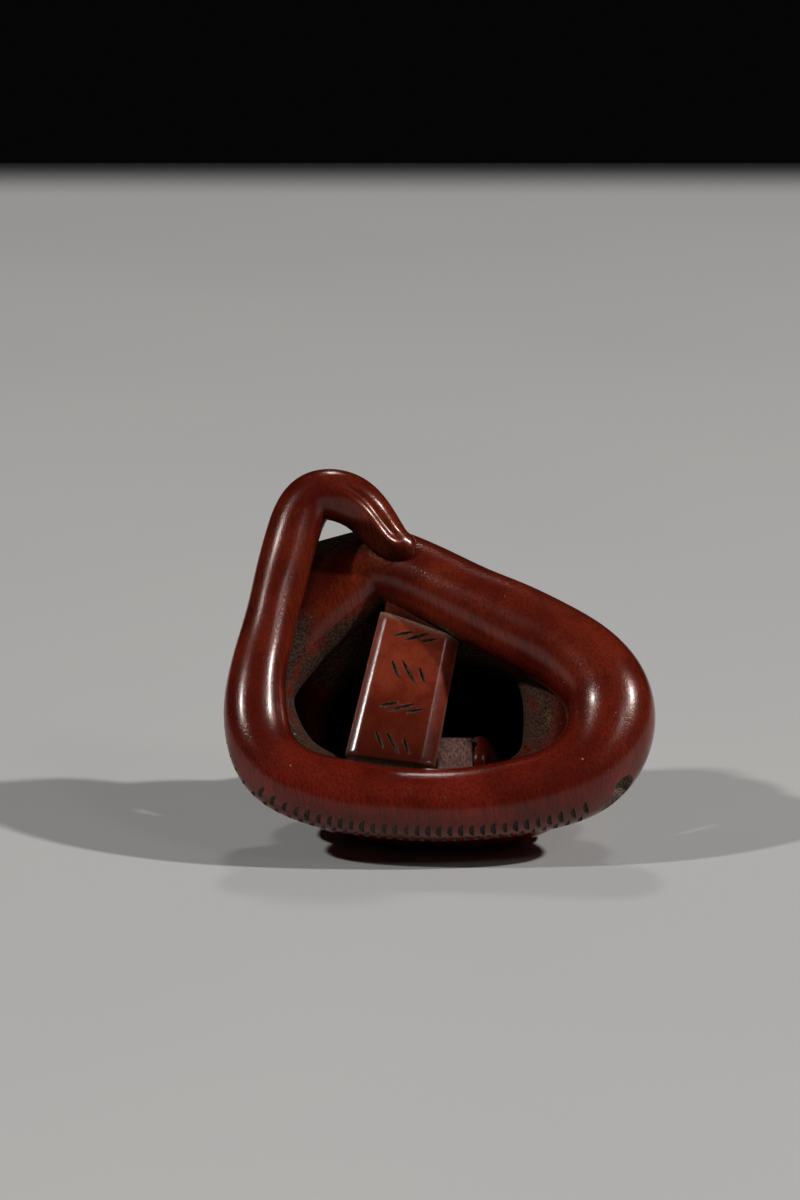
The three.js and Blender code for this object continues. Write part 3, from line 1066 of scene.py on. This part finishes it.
def markSurface(mesh):
    points = readPoints(mesh)
    flat = np.empty(len(points) * 3, np.float32)
    mesh.vertex_normals.foreach_get("vector", flat)
    normals = flat.reshape(-1, 3).astype(float)
    shares = openness(mesh, points, normals)
    across, depth, up = points.T
    ramp = lambda name, values: smoothStep(*surfaceMarks[name], values)
    writeValues(mesh, "openness", shares)
    inward = unitRows(np.array(surfaceMarks["hollowAxis"]) - points[:, [0, 2]])
    facing = np.sum(normals[:, [0, 2]] * inward, axis=1)
    dust = ramp("dustDepth", depth) * ramp("dustFacing", facing)
    web = ramp("webDust", up) * ramp("webAcross", across) * ramp("webDepth", depth)
    web = web * (depth < surfaceMarks["webBack"]) * ramp("webInward", facing)
    dust = np.maximum(dust, web * ramp("webFront", normals[:, 1]))
    dust = dust * (1 - ramp("openPlaces", shares))
    writeValues(mesh, "hollowDust", np.maximum(dust, facingPatch("ridgeDust", points, normals)))
    writeValues(mesh, "moss", patch("moss", points) * smoothStep(*surfaceMarks["moss"]["dust"], dust))
    writeValues(mesh, "crust", ridge(nearTablet(points), surfaceMarks["crustWidth"]))
    # painted shadow: near-black at the back of the hollow and on the faces that look down under the tail
    fromAxis = (points[:, [0, 2]] - surfaceMarks["hollowAxis"]) / surfaceMarks["paintedShadowHalf"]
    paintedShadow = ramp("paintedShadowDepth", depth) * ramp("paintedShadowEdge", np.linalg.norm(fromAxis, axis=1))
    paintedShadow = paintedShadow * ramp("paintedShadowFront", normals[:, 1])
    writeValues(mesh, "paintedShadow", np.maximum(paintedShadow, facingPatch("underTail", points, normals)))
    foot, top = tabletPoint(0.5, 0), tabletPoint(0.5, 1)
    rise = (points[:, [0, 2]] - np.array(foot)) @ np.array(top - foot) / (top - foot).length_squared
    writeValues(mesh, "tabletRise", rise)
    writeValues(mesh, "wornEdge", ramp("edgeTurn", edgeTurns(mesh, points, normals)))


# The carving
def carveNetsuke():
    wood, tabletFinish = stainedBoxwood(), polishedTablet()
    tree = sweepTree()
    stretches = [bodyStretch(number, tree, wood) for number in range(len(snake["ringSteps"]))]
    netsuke = stretches[0]
    foot = footBlock(cutFinish("endGrain"))
    for part in (*stretches[1:], *standingWood(wood), foot, *tabletParts(tabletFinish, wood)):
        carve(netsuke, part, "UNION")
    print("body, left wood and tablet joined:", len(netsuke.data.polygons), "faces")
    tools = [
        scaleMarks(cutFinish("grime")),
        strokeMarks(cutFinish("stroke")),
        scrapeMark(cutFinish("scraped")),
        chipBreak(cutFinish("rawWood")),
        groundBlock(wood),
    ]
    for tool in tools:
        carve(netsuke, tool, "DIFFERENCE")
    mesh = netsuke.data
    mesh.polygons.foreach_set("use_smooth", np.ones(len(mesh.polygons), bool))
    mesh.set_sharp_from_angle(angle=math.radians(snake["sharpAngle"]))
    markSurface(mesh)
    mesh.transform(toRow)
    mesh.update()
    mesh.calc_loop_triangles()
    print("carved:", len(mesh.loop_triangles), "triangles, finishes", [m.name for m in mesh.materials])
    netsuke.name = "coiledSnake"
    mesh.name = "coiledSnake"
    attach(netsuke, "root")
    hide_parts("coiled_snake")


# The stage: a pale floor with a dark room behind it, a lamp on either side, a weak one in front
# and one high at the back
stage = {
    "floorTone": stain(196, 194, 190),
    "floorDark": stain(186, 185, 184),
    "floorHalfWidth": 1.6,
    "floorFront": -1.6,
    "floorBack": 0.495,
    "floorRoughness": 0.55,
    "floorCloud": (0.01, 2.0),
    "fade": 0.05,
    "room": (0.0017, 0.0017, 0.0017, 1.0),
    "viewTransform": "Standard",
    "lampAim": (0, 0, 0.015),
    "lampDistance": 1.4,
}
lamps = {  # the direction of each from the carving, its width in metres and its power in watts
    "leftLamp": {"towards": (-0.705, -0.299, 0.643), "size": 0.07, "power": 8.8},
    "rightLamp": {"towards": (0.747, -0.214, 0.629), "size": 0.07, "power": 13.0},
    "frontLamp": {"towards": (0.532, -0.551, 0.643), "size": 0.25, "power": 0.9},
    "backLamp": {"towards": (0.0, 0.63, 0.78), "size": 0.16, "power": 2.2},
}
view = {
    "elevation": 13.0,
    "distance": 450.0,
    "pixelsPerMm": 10.31,
    "seatPixel": (438, 680),
    "framePixels": (800, 1200),
    "sensor": 36.0,
    "clip": (0.01, 20.0),
}


def floorFinish():
    finish, graph, place = startFinish("paleFloor")
    cloud = graph.noise(place, *stage["floorCloud"])
    colour = graph.mix(cloud, stage["floorTone"], stage["floorDark"])
    # the floor's far edge darkens into the room colour: painted shade where the light falls off
    split = graph.node("ShaderNodeSeparateXYZ", None, {"Vector": place}, 1)
    far = stage["floorBack"] / stance["unit"]
    gone = split.clear(far - stage["fade"] / stance["unit"], far)
    colour = graph.mix(gone, colour, stage["room"])
    endFinish(graph, {"Base Color": colour, "Roughness": stage["floorRoughness"]})
    return finish


def addFloor():
    def build(shape):
        half, front, back = stage["floorHalfWidth"], stage["floorFront"], stage["floorBack"]
        corners = [(-half, front, 0), (half, front, 0), (half, back, 0), (-half, back, 0)]
        shape.faces.new([shape.verts.new(c) for c in corners])
    floor = addObject("floor", meshOf("floor", build), floorFinish())


def addLamps():
    aim = Vector(stage["lampAim"])
    for name, lamp in lamps.items():
        light = bpy.data.lights.new(name, "AREA")
        light.shape = "DISK"
        light.size = lamp["size"]
        light.energy = lamp["power"]
        holder = bpy.data.objects.new(name, light)
        towards = Vector(lamp["towards"]).normalized()
        holder.location = aim + towards * stage["lampDistance"]
        holder.rotation_euler = towards.to_track_quat("Z", "Y").to_euler()
        bpy.context.scene.collection.objects.link(holder)
    world = bpy.data.worlds.new("room")
    world.use_nodes = True
    world.node_tree.nodes["Background"].inputs["Color"].default_value = stage["room"]
    bpy.context.scene.world = world
    bpy.context.scene.view_settings.view_transform = stage["viewTransform"]


def addCamera():
    lens = bpy.data.cameras.new("camera")
    holder = bpy.data.objects.new("camera", lens)
    tilt = math.radians(view["elevation"])
    ahead = Vector((0, math.cos(tilt), -math.sin(tilt)))
    upward = Vector((0, math.sin(tilt), math.cos(tilt)))
    width, height = view["framePixels"]
    right = (view["seatPixel"][0] - width / 2) / view["pixelsPerMm"]
    down = (view["seatPixel"][1] - height / 2) / view["pixelsPerMm"]
    aim = Vector(stance["seat"]) - Vector((right, 0, 0)) + upward * down
    holder.location = (aim - ahead * view["distance"]) * stance["unit"]
    holder.rotation_euler = (-ahead).to_track_quat("Z", "Y").to_euler()
    lens.sensor_width = view["sensor"]
    lens.lens = view["sensor"] * view["distance"] * view["pixelsPerMm"] / height
    lens.clip_start, lens.clip_end = view["clip"]
    bpy.context.scene.collection.objects.link(holder)
    bpy.context.scene.camera = holder


addCamera()
carveNetsuke()
addFloor()
addLamps()
print("stage set")
